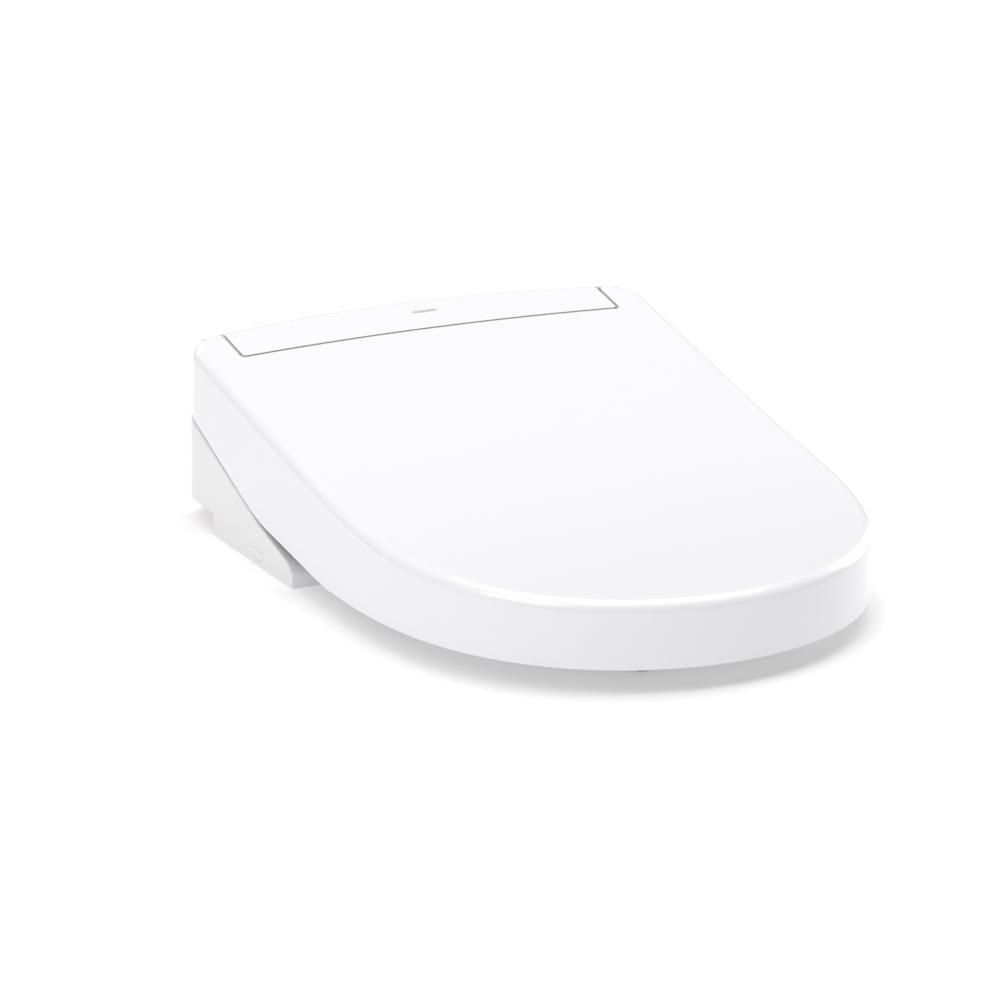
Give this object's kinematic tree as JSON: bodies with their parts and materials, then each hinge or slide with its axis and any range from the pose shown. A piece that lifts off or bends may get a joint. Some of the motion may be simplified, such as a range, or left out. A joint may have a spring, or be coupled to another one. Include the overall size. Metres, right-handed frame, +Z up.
{
  "type": "electric bidet seat",
  "caption": "Electric bidet seat with a sloping soft-close lid, heated seat ring, sliding wash nozzle, warm-air dryer and a rear case bolted to the bowl.",
  "frame": {"origin": "midway between the two bolt slots of the mounting plate, on the plane of the bowl's rim", "axes": "+Z up, -Y towards the front of the seat, -X towards the sitter's right"},
  "size_m": [0.3848, 0.5199, 0.1364],
  "materials": {
    "lid_white": "high gloss moulded white",
    "panel_white": "high gloss moulded white",
    "seat_white": "satin gloss white",
    "case_white": "fine satin white",
    "inner_case_white": "satin white",
    "nozzle_white": "smooth white",
    "mark_grey": "grey print",
    "window_dark": "dark translucent",
    "rubber_grey": "soft grey rubber",
    "plate_grey": "grey glass-filled plastic",
    "steel": "drawn steel",
    "brass_plated": "plated brass",
    "motor_metal": "zinc plated can",
    "mechanism_plastic": "natural acetal",
    "hose_clear": "silicone hose",
    "board_green": "coated circuit board",
    "mica": "mica sheet",
    "foil": "aluminium foil",
    "filter_carbon": "carbon cartridge"
  },
  "bodies": {
    "case": {"lower_case": "case_white", "upper_case": "inner_case_white", "top_panel": "panel_white", "panel_badge": "mark_grey", "sensor_window": "window_dark", "mounting_plate": "plate_grey", "case_screws": "steel", "hinge_spacers": "mechanism_plastic", "nozzle_motor": "motor_metal", "nozzle_rail": "mechanism_plastic", "nozzle_hood": "nozzle_white", "water_inlet": "brass_plated", "inlet_strainer": "mechanism_plastic", "valve_body": "mechanism_plastic", "solenoid_coil": "motor_metal", "flow_sensor": "mechanism_plastic", "heat_exchanger": "mechanism_plastic", "supply_hose": "hose_clear", "warm_hose": "hose_clear", "diverter_valve": "mechanism_plastic", "diverter_motor": "motor_metal", "dryer_housing": "mechanism_plastic", "dryer_motor": "motor_metal", "dryer_duct": "mechanism_plastic", "dryer_heater": "mica", "deodoriser_housing": "mechanism_plastic", "deodoriser_motor": "motor_metal", "control_board": "board_green", "power_board": "board_green", "cord_gland": "rubber_grey", "hinge_pin_right": "steel", "hinge_pin_left": "steel", "hinge_damper_right": "motor_metal", "hinge_damper_left": "motor_metal"},
    "seat": {"seat_top_shell": "seat_white", "seat_bottom_shell": "seat_white", "seat_heater_element": "foil", "seat_thermostat": "mechanism_plastic", "seat_bumpers": "rubber_grey"},
    "lid": {"lid_shell": "lid_white", "lid_bumpers": "rubber_grey"},
    "nozzle": {"nozzle_tip": "nozzle_white", "nozzle_tube": "steel", "nozzle_rack": "mechanism_plastic"},
    "nozzle_drive": {"nozzle_pinion": "mechanism_plastic"},
    "dryer_rotor": {"dryer_impeller": "mechanism_plastic"},
    "dryer_flap": {"dryer_flap": "nozzle_white"},
    "deodoriser_rotor": {"deodoriser_impeller": "mechanism_plastic"},
    "filter": {"deodoriser_filter": "case_white"},
    "release": {"release_button": "case_white", "release_latch": "mechanism_plastic"},
    "drain": {"drain_plug": "mechanism_plastic"}
  },
  "joints": [
    {"name": "seat_hinge", "type": "hinge", "parent": "case", "child": "seat", "pos_m": [0, 0.022, 0.1195], "axis": [1, 0, 0], "range_deg": [-92, 0]},
    {"name": "lid_hinge", "type": "hinge", "parent": "seat", "child": "lid", "pos_m": [0, 0.022, 0.1195], "axis": [-1, 0, 0], "range_deg": [0, 103]},
    {"name": "nozzle_slide", "type": "slide", "parent": "case", "child": "nozzle", "axis": [0, -0.9397, -0.342], "range_m": [0, 0.105]},
    {"name": "nozzle_drive_spin", "type": "hinge", "parent": "case", "child": "nozzle_drive", "pos_m": [0, -0.12517, 0.04602], "axis": [1, 0, 0], "range_deg": [-670, 0]},
    {"name": "dryer_spin", "type": "hinge", "parent": "case", "child": "dryer_rotor", "pos_m": [0.048, -0.07, 0.052], "axis": [1, 0, 0], "continuous": true},
    {"name": "dryer_flap_hinge", "type": "hinge", "parent": "case", "child": "dryer_flap", "pos_m": [0.048, -0.1476, 0.0156], "axis": [-1, 0, 0], "range_deg": [0, 70]},
    {"name": "deodoriser_spin", "type": "hinge", "parent": "case", "child": "deodoriser_rotor", "pos_m": [0.126, -0.042, 0.04], "axis": [1, 0, 0], "continuous": true},
    {"name": "filter_slide", "type": "slide", "parent": "case", "child": "filter", "axis": [1, 0, 0], "range_m": [0, 0.034]},
    {"name": "release_press", "type": "slide", "parent": "case", "child": "release", "axis": [1, 0, 0], "range_m": [0, 0.003], "stiffness_N_per_m": 400, "springref_m": -0.001},
    {"name": "drain_turn", "type": "hinge", "parent": "case", "child": "drain", "pos_m": [-0.14, 0.012, 0.02], "axis": [0, 0, 1], "range_deg": [0, 90]}
  ],
  "couplings": [
    {"joint": "nozzle_drive_spin", "follows": "nozzle_slide", "rad_per_m": -111.11}
  ]
}
